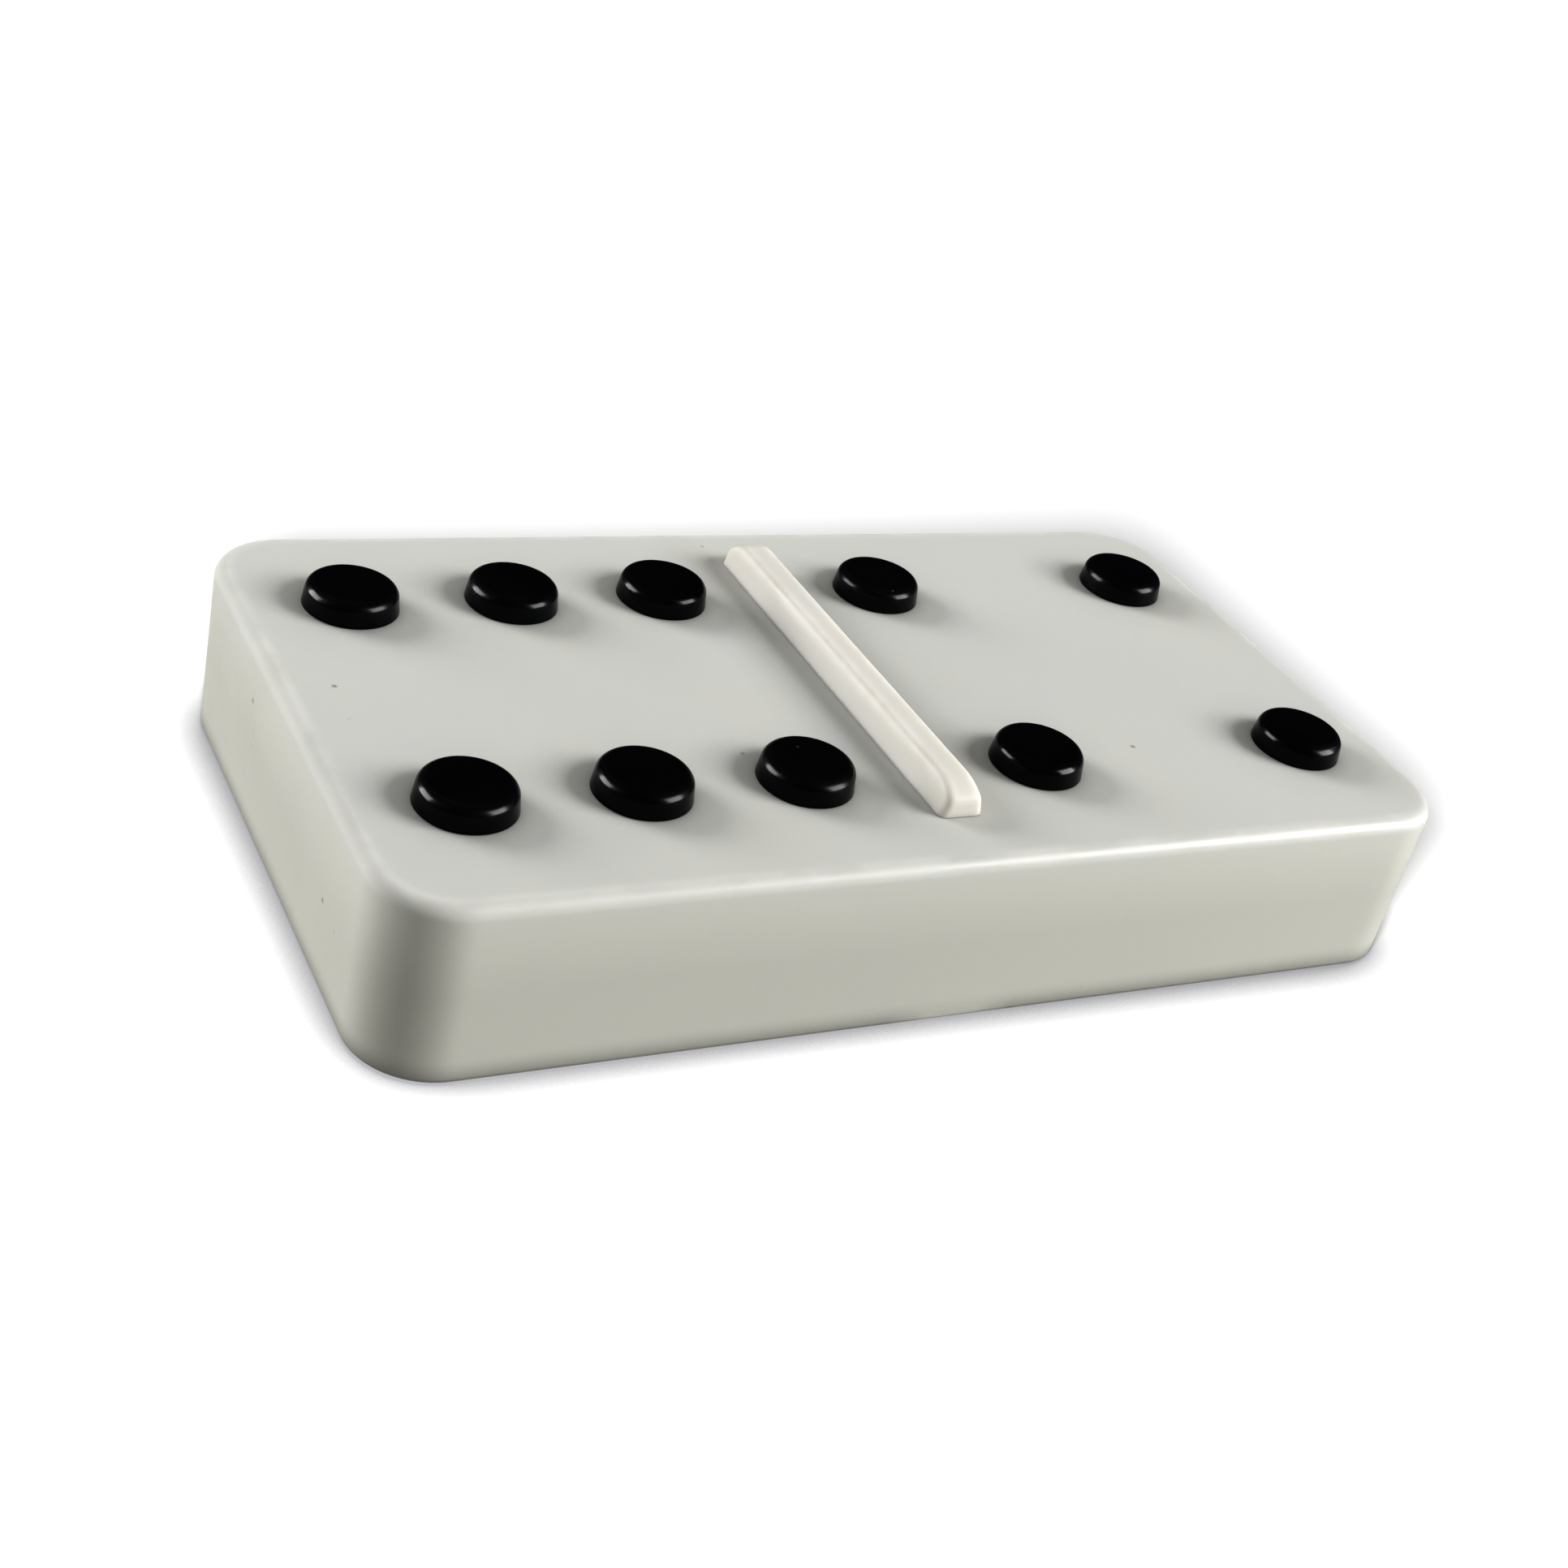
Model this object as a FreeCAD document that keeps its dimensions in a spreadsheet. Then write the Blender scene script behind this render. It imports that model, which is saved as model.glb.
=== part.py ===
import FreeCAD, Part
import math
import os
import Sketcher

# A tactile domino tile: a white block, a raised divider bar and ten raised black pips.
#
# Frame: millimetres, +Z up. The origin is the middle of the underside. +X runs along the tile
# from the six-pip half to the four-pip half, and +Y runs across it.

SHEET = "Dimensions"

DIMENSIONS = {
    # The block.
    "tile_length": 50.0,
    "tile_width": 28.0,
    "tile_height": 8.0,
    "corner_radius": 3.3,
    "top_edge_round": 0.6,
    "base_edge_round": 0.3,
    # The pip pattern: the middle of each half, and the spacing about it.
    "half_centre": 12.9,
    "column_pitch": 7.25,
    "row_pitch": 15.1,
    # One pip: a tapered button head with a flat crown, on a plain shank.
    "pip_diameter": 4.14,
    "pip_crown_diameter": 3.86,
    "pip_height": 1.1,
    "pip_edge_round": 0.45,
    "shank_diameter": 2.6,
    "shank_depth": 2.4,
    "shank_chamfer": 0.3,
    # The divider: a bar with sloping sides and a rounded nose at each end, on a tenon.
    "bar_length": 21.8,
    "bar_base_width": 2.1,
    "bar_top_width": 1.4,
    "bar_height": 1.4,
    "nose_length": 1.5,
    "nose_foot": 0.8,
    "nose_foot_round": 0.5,
    "bar_edge_round": 0.35,
    "tenon_length": 18.0,
    "tenon_width": 1.0,
    "tenon_depth": 2.0,
    # Room for the bond beside and under each shank and the tenon.
    "bond_gap": 0.05,
    "bond_depth": 0.2,
}

# Where the pips of each half stand: steps along X and Y from the middle of the half.
SIX_STEPS = [(column, row) for row in (1, -1) for column in (-1, 0, 1)]
FOUR_STEPS = [(column, row) for row in (1, -1) for column in (-1, 1)]

# A sketch's own geometry: its origin (the start point of its horizontal axis) and its axes.
ORIGIN = (-1, 1)
HORIZONTAL_AXIS = -1
VERTICAL_AXIS = -2
START, END, CENTRE = 1, 2, 3

FULL_TURN = 360.0
SAME_PLACE = 1e-6


def make_sheet(doc):
    """The spreadsheet that every size in the document is bound to."""
    sheet = doc.addObject("Spreadsheet::Sheet", SHEET)
    for row, (alias, value) in enumerate(DIMENSIONS.items(), start=1):
        sheet.set(f"A{row}", alias)
        sheet.set(f"B{row}", str(value))
        sheet.setAlias(f"B{row}", alias)
    doc.recompute()


def cell(alias):
    """The expression that reads one cell of the sheet."""
    return f"{SHEET}.{alias}"


def new_body(doc, name):
    """A named sub-part."""
    body = doc.addObject("PartDesign::Body", name)
    body.Label = name
    return body


def new_sketch(body, name, role="XY_Plane", lift=None):
    """A sketch on one of the body's origin planes, raised by the lift expression."""
    sketch = body.newObject("Sketcher::SketchObject", name)
    plane = next(item for item in body.Origin.OriginFeatures if item.Role == role)
    sketch.AttachmentSupport = [(plane, "")]
    sketch.MapMode = "FlatFace"
    if lift:
        sketch.setExpression("AttachmentOffset.Base.z", lift)
    return sketch


def bind(sketch, expression, kind, *geometry):
    """A dimension constraint whose value is an expression."""
    index = sketch.addConstraint(Sketcher.Constraint(kind, *geometry, 1.0))
    sketch.setExpression(f"Constraints[{index}]", expression)


def add_lines(sketch, points):
    """A closed outline of straight lines through the points."""
    corners = [FreeCAD.Vector(x, y, 0) for x, y in points]
    count = len(corners)
    for index, corner in enumerate(corners):
        line = Part.LineSegment(corner, corners[(index + 1) % count])
        sketch.addGeometry(line, False)
    for index in range(count):
        joint = Sketcher.Constraint("Coincident", index, END, (index + 1) % count, START)
        sketch.addConstraint(joint)


def add_rectangle(sketch, length, width):
    """A rectangle about the sketch's origin."""
    half_x = DIMENSIONS["tile_length"] / 2
    half_y = DIMENSIONS["tile_width"] / 2
    add_lines(sketch, [(-half_x, -half_y), (half_x, -half_y), (half_x, half_y), (-half_x, half_y)])
    for index, kind in enumerate(("Horizontal", "Vertical", "Horizontal", "Vertical")):
        sketch.addConstraint(Sketcher.Constraint(kind, index))
    middle = Sketcher.Constraint("Symmetric", 0, START, 2, START, *ORIGIN)
    sketch.addConstraint(middle)
    bind(sketch, length, "DistanceX", 0, START, 0, END)
    bind(sketch, width, "DistanceY", 1, START, 1, END)


def add_circle(sketch, diameter, place=None):
    """A circle at the sketch's origin, or at a place given as expressions for X and Y."""
    up = FreeCAD.Vector(0, 0, 1)
    index = sketch.addGeometry(Part.Circle(FreeCAD.Vector(), up, 1.0), False)
    bind(sketch, diameter, "Diameter", index)
    if place is None:
        centred = Sketcher.Constraint("Coincident", index, CENTRE, *ORIGIN)
        sketch.addConstraint(centred)
        return
    for kind, value in zip(("DistanceX", "DistanceY"), place):
        bind(sketch, value, kind, *ORIGIN, index, CENTRE)


def add_obround(sketch, length, width):
    """A slot shape with round ends, long along the sketch's Y, about its origin."""
    reach = (DIMENSIONS["tenon_length"] - DIMENSIONS["tenon_width"]) / 2
    radius = DIMENSIONS["tenon_width"] / 2
    up = FreeCAD.Vector(0, 0, 1)
    for side in (1, -1):
        foot = FreeCAD.Vector(side * radius, -side * reach, 0)
        head = FreeCAD.Vector(side * radius, side * reach, 0)
        sketch.addGeometry(Part.LineSegment(foot, head), False)
        end_circle = Part.Circle(FreeCAD.Vector(0, side * reach, 0), up, radius)
        turn = 0.0 if side > 0 else math.pi
        sketch.addGeometry(Part.ArcOfCircle(end_circle, turn, turn + math.pi), False)
    for index in range(4):
        joint = Sketcher.Constraint("Tangent", index, END, (index + 1) % 4, START)
        sketch.addConstraint(joint)
    for index in (0, 2):
        sketch.addConstraint(Sketcher.Constraint("Vertical", index))
    middle = Sketcher.Constraint("Symmetric", 1, CENTRE, 3, CENTRE, *ORIGIN)
    sketch.addConstraint(middle)
    bind(sketch, f"({width}) / 2", "Radius", 1)
    bind(sketch, f"({length}) - ({width})", "DistanceY", 3, CENTRE, 1, CENTRE)


def add_pad(body, name, sketch, length, downwards=False):
    """The sketch pulled out into a solid."""
    pad = body.newObject("PartDesign::Pad", name)
    pad.Profile = sketch
    pad.setExpression("Length", length)
    pad.Reversed = downwards
    return pad


def add_turning(body, name, sketch):
    """The sketch turned once round its own vertical axis."""
    turning = body.newObject("PartDesign::Revolution", name)
    turning.Profile = sketch
    turning.ReferenceAxis = (sketch, ["V_Axis"])
    turning.Angle = FULL_TURN


def add_pocket(body, name, sketch, depth):
    """The sketch cut down into the solid."""
    before = body.Shape.Volume
    pocket = body.newObject("PartDesign::Pocket", name)
    pocket.Profile = sketch
    pocket.setExpression("Length", depth)
    body.Document.recompute()
    if body.Shape.Volume > before - SAME_PLACE:
        raise RuntimeError(f"{name} cuts nothing from {body.Label}")


def dress_edges(body, kind, name, size_name, size, wanted):
    """A fillet or chamfer on every edge of the tip for which wanted(edge) is true."""
    doc = body.Document
    doc.recompute()
    base = body.Tip
    edges = [
        f"Edge{number}"
        for number, edge in enumerate(base.Shape.Edges, start=1)
        if wanted(edge)
    ]
    if not edges:
        raise RuntimeError(f"{name} finds no edge in {body.Label}")
    feature = body.newObject(kind, name)
    feature.Base = (base, edges)
    feature.setExpression(size_name, size)
    doc.recompute()


def lies_at(height):
    """A test for an edge that lies flat at a height."""
    def test(edge):
        box = edge.BoundBox
        return abs(box.ZMin - height) < SAME_PLACE and abs(box.ZMax - height) < SAME_PLACE
    return test


def runs_along(axis):
    """A test for a straight edge that is parallel to an axis."""
    def test(edge):
        if edge.Curve.TypeId != "Part::GeomLine":
            return False
        return abs(abs(edge.tangentAt(edge.FirstParameter).dot(axis)) - 1) < SAME_PLACE
    return test


def joins_side(edge):
    """A test for an edge whose two ends are on the same side of the bar."""
    first, last = edge.Vertexes[0], edge.Vertexes[-1]
    return first.X * last.X > SAME_PLACE


def pip_place(side, step):
    """The expressions for a pip's X and Y. side is -1 on the six half and 1 on the four half."""
    column, row = step
    at_x = f"{side} * {cell('half_centre')} + {column} * {cell('column_pitch')}"
    at_y = f"{row} * {cell('row_pitch')} / 2"
    return at_x, at_y


def all_pips():
    """The name, half and step of every pip."""
    rows = [(f"pip_six_{n}", -1, step) for n, step in enumerate(SIX_STEPS, start=1)]
    rows += [(f"pip_four_{n}", 1, step) for n, step in enumerate(FOUR_STEPS, start=1)]
    return rows


def make_tile_body(doc):
    """The white block, with a blind seat for each pip's shank and a slot for the divider's tenon."""
    body = new_body(doc, "tile_body")
    footprint = new_sketch(body, "footprint")
    add_rectangle(footprint, cell("tile_length"), cell("tile_width"))
    add_pad(body, "block", footprint, cell("tile_height"))

    top = DIMENSIONS["tile_height"]
    upright = runs_along(FreeCAD.Vector(0, 0, 1))
    fillet = "PartDesign::Fillet"
    dress_edges(body, fillet, "corners", "Radius", cell("corner_radius"), upright)
    dress_edges(body, fillet, "top_edge", "Radius", cell("top_edge_round"), lies_at(top))
    dress_edges(body, fillet, "base_edge", "Radius", cell("base_edge_round"), lies_at(0))

    seats = new_sketch(body, "pip_seats", lift=cell("tile_height"))
    seat_size = f"{cell('shank_diameter')} + 2 * {cell('bond_gap')}"
    for _, side, step in all_pips():
        add_circle(seats, seat_size, pip_place(side, step))
    add_pocket(body, "pip_seat_cut", seats, f"{cell('shank_depth')} + {cell('bond_depth')}")

    slot = new_sketch(body, "divider_slot", lift=cell("tile_height"))
    slot_length = f"{cell('tenon_length')} + 2 * {cell('bond_gap')}"
    slot_width = f"{cell('tenon_width')} + 2 * {cell('bond_gap')}"
    add_obround(slot, slot_length, slot_width)
    add_pocket(body, "divider_slot_cut", slot, f"{cell('tenon_depth')} + {cell('bond_depth')}")
    return body


def add_bar_outline(sketch):
    """The bar from the side: flat base, short upright ends, and an arc up to each end of the crest."""
    end = DIMENSIONS["bar_length"] / 2
    height = DIMENSIONS["bar_height"]
    foot = DIMENSIONS["nose_foot"]
    reach = DIMENSIONS["nose_length"]
    rise = height - foot
    radius = (reach ** 2 + rise ** 2) / (2 * rise)
    turn = math.asin(reach / radius)
    quarter = math.pi / 2
    up = FreeCAD.Vector(0, 0, 1)

    def line(start, finish):
        return Part.LineSegment(FreeCAD.Vector(*start, 0), FreeCAD.Vector(*finish, 0))

    def nose(middle, first, last):
        circle = Part.Circle(FreeCAD.Vector(middle, height - radius, 0), up, radius)
        return Part.ArcOfCircle(circle, first, last)

    pieces = [
        line((-end, 0), (end, 0)),
        line((end, 0), (end, foot)),
        nose(end - reach, quarter - turn, quarter),
        line((end - reach, height), (reach - end, height)),
        nose(reach - end, quarter, quarter + turn),
        line((-end, foot), (-end, 0)),
    ]
    for piece in pieces:
        sketch.addGeometry(piece, False)
    base, right, right_nose, crest, left_nose, left = range(len(pieces))
    loop = [base, right, right_nose, crest, left_nose, left]
    smooth = {(right_nose, crest), (crest, left_nose)}
    for one, other in zip(loop, loop[1:] + loop[:1]):
        kind = "Tangent" if (one, other) in smooth else "Coincident"
        sketch.addConstraint(Sketcher.Constraint(kind, one, END, other, START))
    sketch.addConstraint(Sketcher.Constraint("Horizontal", base))
    for index in (right, left):
        sketch.addConstraint(Sketcher.Constraint("Vertical", index))
    sketch.addConstraint(Sketcher.Constraint("Symmetric", base, START, base, END, *ORIGIN))
    sketch.addConstraint(Sketcher.Constraint("Symmetric", crest, START, crest, END, VERTICAL_AXIS))
    bind(sketch, cell("bar_length"), "DistanceX", base, START, base, END)
    bind(sketch, cell("bar_height"), "DistanceY", base, END, crest, START)
    bind(sketch, cell("nose_foot"), "DistanceY", right, START, right, END)
    bind(sketch, cell("nose_foot"), "DistanceY", left, END, left, START)
    bind(sketch, cell("nose_length"), "DistanceX", right_nose, END, right_nose, START)


def lean_sides(body, name, angle):
    """Leans the upright sides that face along X inwards, about the base."""
    doc = body.Document
    doc.recompute()
    base = body.Tip
    sides = []
    for number, face in enumerate(base.Shape.Faces, start=1):
        facing = face.normalAt(0, 0)
        if abs(abs(facing.x) - 1) < SAME_PLACE:
            sides.append(f"Face{number}")
        elif face.BoundBox.ZMax < SAME_PLACE:
            underside = f"Face{number}"
    draft = body.newObject("PartDesign::Draft", name)
    draft.Base = (base, sides)
    draft.NeutralPlane = (base, [underside])
    draft.setExpression("Angle", angle)
    doc.recompute()


def make_divider_bar(doc):
    """The raised bar between the halves, on a tenon that sits in the block's slot."""
    body = new_body(doc, "divider_bar")
    outline = new_sketch(body, "side_outline", "YZ_Plane")
    add_bar_outline(outline)
    bar = add_pad(body, "bar", outline, cell("bar_base_width"))
    bar.SideType = "Symmetric"
    slope = f"({cell('bar_base_width')} - {cell('bar_top_width')}) / 2 / {cell('bar_height')}"
    lean_sides(body, "sloping_sides", f"atan({slope})")

    along_x = runs_along(FreeCAD.Vector(1, 0, 0))
    at_foot = lies_at(DIMENSIONS["nose_foot"])
    at_base = lies_at(0)
    fillet = "PartDesign::Fillet"
    dress_edges(
        body, fillet, "nose_feet", "Radius", cell("nose_foot_round"),
        lambda edge: along_x(edge) and at_foot(edge),
    )
    dress_edges(
        body, fillet, "rim", "Radius", cell("bar_edge_round"),
        lambda edge: not at_base(edge) and joins_side(edge),
    )

    tenon = new_sketch(body, "tenon_outline")
    add_obround(tenon, cell("tenon_length"), cell("tenon_width"))
    add_pad(body, "tenon", tenon, cell("tenon_depth"), downwards=True)
    body.setExpression("Placement.Base.z", cell("tile_height"))
    return body


def make_pip(doc, name, side, step):
    """One black pip: a tapered head on the block's top face, on a shank that fills its seat."""
    body = new_body(doc, name)
    head = new_sketch(body, f"{name}_head_profile", "XZ_Plane")
    foot_radius = DIMENSIONS["pip_diameter"] / 2
    crown_radius = DIMENSIONS["pip_crown_diameter"] / 2
    height = DIMENSIONS["pip_height"]
    add_lines(head, [(0, 0), (foot_radius, 0), (crown_radius, height), (0, height)])
    head.addConstraint(Sketcher.Constraint("Coincident", 0, START, *ORIGIN))
    head.addConstraint(Sketcher.Constraint("Horizontal", 0))
    head.addConstraint(Sketcher.Constraint("Horizontal", 2))
    head.addConstraint(Sketcher.Constraint("Vertical", 3))
    bind(head, f"{cell('pip_diameter')} / 2", "DistanceX", 0, START, 0, END)
    bind(head, f"{cell('pip_crown_diameter')} / 2", "DistanceX", 2, END, 2, START)
    bind(head, cell("pip_height"), "DistanceY", 3, END, 3, START)
    add_turning(body, f"{name}_head", head)
    crown = lies_at(height)
    dress_edges(
        body, "PartDesign::Fillet", f"{name}_crown", "Radius", cell("pip_edge_round"), crown
    )

    shank = new_sketch(body, f"{name}_shank_outline")
    add_circle(shank, cell("shank_diameter"))
    add_pad(body, f"{name}_shank", shank, cell("shank_depth"), downwards=True)
    tip = lies_at(-DIMENSIONS["shank_depth"])
    dress_edges(
        body, "PartDesign::Chamfer", f"{name}_lead_in", "Size", cell("shank_chamfer"), tip
    )

    at_x, at_y = pip_place(side, step)
    body.setExpression("Placement.Base.x", at_x)
    body.setExpression("Placement.Base.y", at_y)
    body.setExpression("Placement.Base.z", cell("tile_height"))
    return body


def check_document(doc, bodies):
    """Stops if any object failed, or if a sub-part isn't one whole solid."""
    for item in doc.Objects:
        if "Invalid" in item.State or "Error" in item.State:
            raise RuntimeError(f"{item.Label} failed: {item.State}")
    for body in bodies:
        shape = body.Shape
        if shape.isNull() or not shape.isValid() or len(shape.Solids) != 1:
            raise RuntimeError(f"{body.Label} isn't one valid solid")


def check_clearance(bodies):
    """Stops if two sub-parts share space."""
    for index, one in enumerate(bodies):
        for other in bodies[index + 1:]:
            shared = one.Shape.common(other.Shape).Volume
            if shared > SAME_PLACE:
                raise RuntimeError(f"{one.Label} and {other.Label} share {shared} mm3")


def main():
    doc = FreeCAD.newDocument("domino_tile")
    make_sheet(doc)
    bodies = [make_tile_body(doc), make_divider_bar(doc)]
    bodies += [make_pip(doc, name, side, step) for name, side, step in all_pips()]
    doc.recompute()
    check_document(doc, bodies)
    check_clearance(bodies)

    os.makedirs("parts", exist_ok=True)
    for body in bodies:
        body.Shape.exportStep(f"parts/{body.Label}.step")
        box = body.Shape.BoundBox
        print(
            f"{body.Label}: {body.Shape.Volume:.2f} mm3, "
            f"{box.XLength:.2f} x {box.YLength:.2f} x {box.ZLength:.2f} mm"
        )


main()
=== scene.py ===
import math

import bmesh
import bpy
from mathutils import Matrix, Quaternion, Vector


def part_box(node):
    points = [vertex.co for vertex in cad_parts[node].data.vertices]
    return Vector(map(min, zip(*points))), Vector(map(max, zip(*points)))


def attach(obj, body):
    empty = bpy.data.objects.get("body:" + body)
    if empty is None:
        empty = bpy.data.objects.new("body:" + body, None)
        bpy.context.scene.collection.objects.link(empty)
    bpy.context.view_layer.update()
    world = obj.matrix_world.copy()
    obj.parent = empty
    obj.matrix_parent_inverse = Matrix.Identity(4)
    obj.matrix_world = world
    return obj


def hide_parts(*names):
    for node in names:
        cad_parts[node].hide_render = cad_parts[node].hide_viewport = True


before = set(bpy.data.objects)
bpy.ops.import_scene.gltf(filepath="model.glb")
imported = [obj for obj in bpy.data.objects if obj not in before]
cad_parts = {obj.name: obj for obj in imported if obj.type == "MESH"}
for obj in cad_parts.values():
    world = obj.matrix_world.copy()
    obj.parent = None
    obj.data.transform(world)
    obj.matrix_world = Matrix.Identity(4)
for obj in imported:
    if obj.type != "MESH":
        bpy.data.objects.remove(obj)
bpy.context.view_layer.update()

# A tactile domino tile: a glossy ivory block, a raised divider and ten raised black pips. The CAD
# nodes give each piece its place and outer size. The radii below are those of the same edges.
MM = 0.001
CORNER_RADIUS = 3.3 * MM
TOP_EDGE_ROUND = 0.6 * MM
BASE_EDGE_ROUND = 0.3 * MM
PIP_CROWN_RADIUS = 1.93 * MM
PIP_EDGE_ROUND = 0.45 * MM
PIP_BASE_ROUND = 0.06 * MM
SHANK_RADIUS = 1.3 * MM
SHANK_CHAMFER = 0.3 * MM
SEAT_RADIUS = 1.35 * MM
SEAT_DEPTH = 2.6 * MM
BAR_CREST_WIDTH = 1.4 * MM
BAR_EDGE_ROUND = 0.35 * MM
NOSE_LENGTH = 1.5 * MM
NOSE_FOOT = 0.8 * MM
NOSE_FOOT_ROUND = 0.5 * MM
TENON_LENGTH = 18.0 * MM
TENON_WIDTH = 1.0 * MM
SLOT_DEPTH = 2.2 * MM
BOND_GAP = 0.05 * MM

# How far the wear and the painted edge highlight spread from the edges: over the block's faces, over the
# bar's, and up and down a pip from a little below its crown.
BLOCK_WEAR_AND_LIGHT_REACH = 0.3 * MM
BAR_WEAR_AND_LIGHT_REACH = 0.56 * MM
PIP_WEAR_AND_LIGHT_REACH = 0.5 * MM
PIP_WEAR_AND_LIGHT_DROP = 0.135 * MM

VIEW_AZIMUTH = -33.45
VIEW_ELEVATION = 30.61
VIEW_ROLL = 14.57
VIEW_TARGET = Vector((-2.93, -2.03, 4.0)) * MM
VIEW_DISTANCE = 96.25 * MM
LENS = 50.44
SENSOR = 36.0

PIPS = sorted(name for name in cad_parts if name.startswith("pip_"))
TILE_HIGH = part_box("tile_body")[1]
TOP = TILE_HIGH.z


# Mesh helpers

def spaced(start, end, count):
    """Evenly spaced values after start, up to and including end."""
    return [start + (end - start) * step / count for step in range(1, count + 1)]


def mirrored_lines(stops):
    """Grid lines on both sides of zero, through each (place, divisions before it)."""
    lines = [0.0]
    for place, divisions in stops:
        lines += spaced(lines[-1], place, divisions)
    return [-place for place in reversed(lines[1:])] + lines


def bridge(mesh, one, other):
    """Joins two closed rings of as many vertices with quads."""
    for index in range(len(one)):
        after = (index + 1) % len(one)
        mesh.faces.new((one[index], one[after], other[after], other[index]))


def join_rows(mesh, one, other):
    """Joins two open rows of as many vertices with quads."""
    for index in range(len(one) - 1):
        mesh.faces.new((one[index], one[index + 1], other[index + 1], other[index]))


def finished_piece(name, mesh, edge_share, node, material):
    """Makes the object, smooth shaded, with an attribute that says where its edges are."""
    mesh.normal_update()
    bmesh.ops.recalc_face_normals(mesh, faces=mesh.faces)
    data = bpy.data.meshes.new(name)
    mesh.to_mesh(data)
    mesh.free()
    data.polygons.foreach_set("use_smooth", [True] * len(data.polygons))
    edge = data.attributes.new("edge", "FLOAT", "POINT")
    edge.data.foreach_set("value", [edge_share(vertex.co) for vertex in data.vertices])
    data.materials.append(material)
    piece = bpy.data.objects.new(name, data)
    bpy.context.scene.collection.objects.link(piece)
    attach(piece, "root")
    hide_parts(node)
    return piece


def stadium_point(point, centre, reach, radius):
    """The point of a circle, or of an obround along Y that is reach longer each way, nearest to point."""
    middle = Vector((centre.x, min(max(point.y, centre.y - reach), centre.y + reach)))
    return middle + (Vector(point.xy) - middle).normalized() * radius


# The block

def round_corner(x, y, half_x, half_y, radius):
    """Moves a point from the square at a corner of a rectangle onto a quarter disc."""
    centre_x, centre_y = half_x - radius, half_y - radius
    over_x, over_y = abs(x) - centre_x, abs(y) - centre_y
    if over_x <= 0 or over_y <= 0:
        return Vector((x, y))
    if over_x >= over_y:
        angle = math.pi / 4 * over_y / over_x
    else:
        angle = math.pi / 2 - math.pi / 4 * over_x / over_y
    outward = Vector((math.copysign(math.cos(angle), x), math.copysign(math.sin(angle), y)))
    centre = Vector((math.copysign(centre_x, x), math.copysign(centre_y, y)))
    return centre + outward * max(over_x, over_y)


def cell_rim(sheet, columns, rows):
    """The vertices round a rectangle of grid cells, in order."""
    first, last = columns
    low, high = rows
    rim = [sheet[i, low] for i in range(first, last)]
    rim += [sheet[last, j] for j in range(low, high)]
    rim += [sheet[i, high] for i in range(last, first, -1)]
    rim += [sheet[first, j] for j in range(high, low, -1)]
    return rim


def sink_seat(mesh, rim, centre, reach, radius, depth):
    """Closes a hole in the top sheet with a blind seat of the given depth."""
    outline = [stadium_point(vertex.co, centre, reach, radius) for vertex in rim]
    ring = rim
    for share in (0.5, 0.9, 1.0):
        places = [vertex.co.xy.lerp(target, share) for vertex, target in zip(rim, outline)]
        inner = [mesh.verts.new((*place, TOP)) for place in places]
        bridge(mesh, ring, inner)
        ring = inner
    for drop in spaced(0, depth, 3):
        lower = [mesh.verts.new((*target, TOP - drop)) for target in outline]
        bridge(mesh, ring, lower)
        ring = lower
    mesh.faces.new(ring)


def make_sheet(mesh, xs, ys, half_x, half_y, radius, z, holes):
    """A rounded rectangle of quads at height z. Holes are (columns, rows) of cells left open."""
    sheet = {}
    covered = set()
    cells = set()
    for (first, last), (low, high) in holes:
        cells |= {(i, j) for i in range(first, last) for j in range(low, high)}
        covered |= {(i, j) for i in range(first + 1, last) for j in range(low + 1, high)}
    for i, x in enumerate(xs):
        for j, y in enumerate(ys):
            if (i, j) not in covered:
                place = round_corner(x, y, half_x, half_y, radius)
                sheet[i, j] = mesh.verts.new((*place, z))
    for i in range(len(xs) - 1):
        for j in range(len(ys) - 1):
            if (i, j) not in cells:
                corners = (sheet[i, j], sheet[i + 1, j], sheet[i + 1, j + 1], sheet[i, j + 1])
                mesh.faces.new(corners)
    return sheet


def wall_profile():
    """(outset from the top sheet, height) of each ring from the top edge down to the underside."""
    arc = spaced(0, math.pi / 2, 12)
    middle = TOP_EDGE_ROUND
    rings = [(middle * math.sin(a), TOP - middle * (1 - math.cos(a))) for a in arc]
    rings += [(middle, z) for z in spaced(TOP - TOP_EDGE_ROUND, BASE_EDGE_ROUND, 10)]
    for a in spaced(0, math.pi / 2, 6):
        outset = middle - BASE_EDGE_ROUND * (1 - math.cos(a))
        rings.append((outset, BASE_EDGE_ROUND * (1 - math.sin(a))))
    return rings


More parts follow.
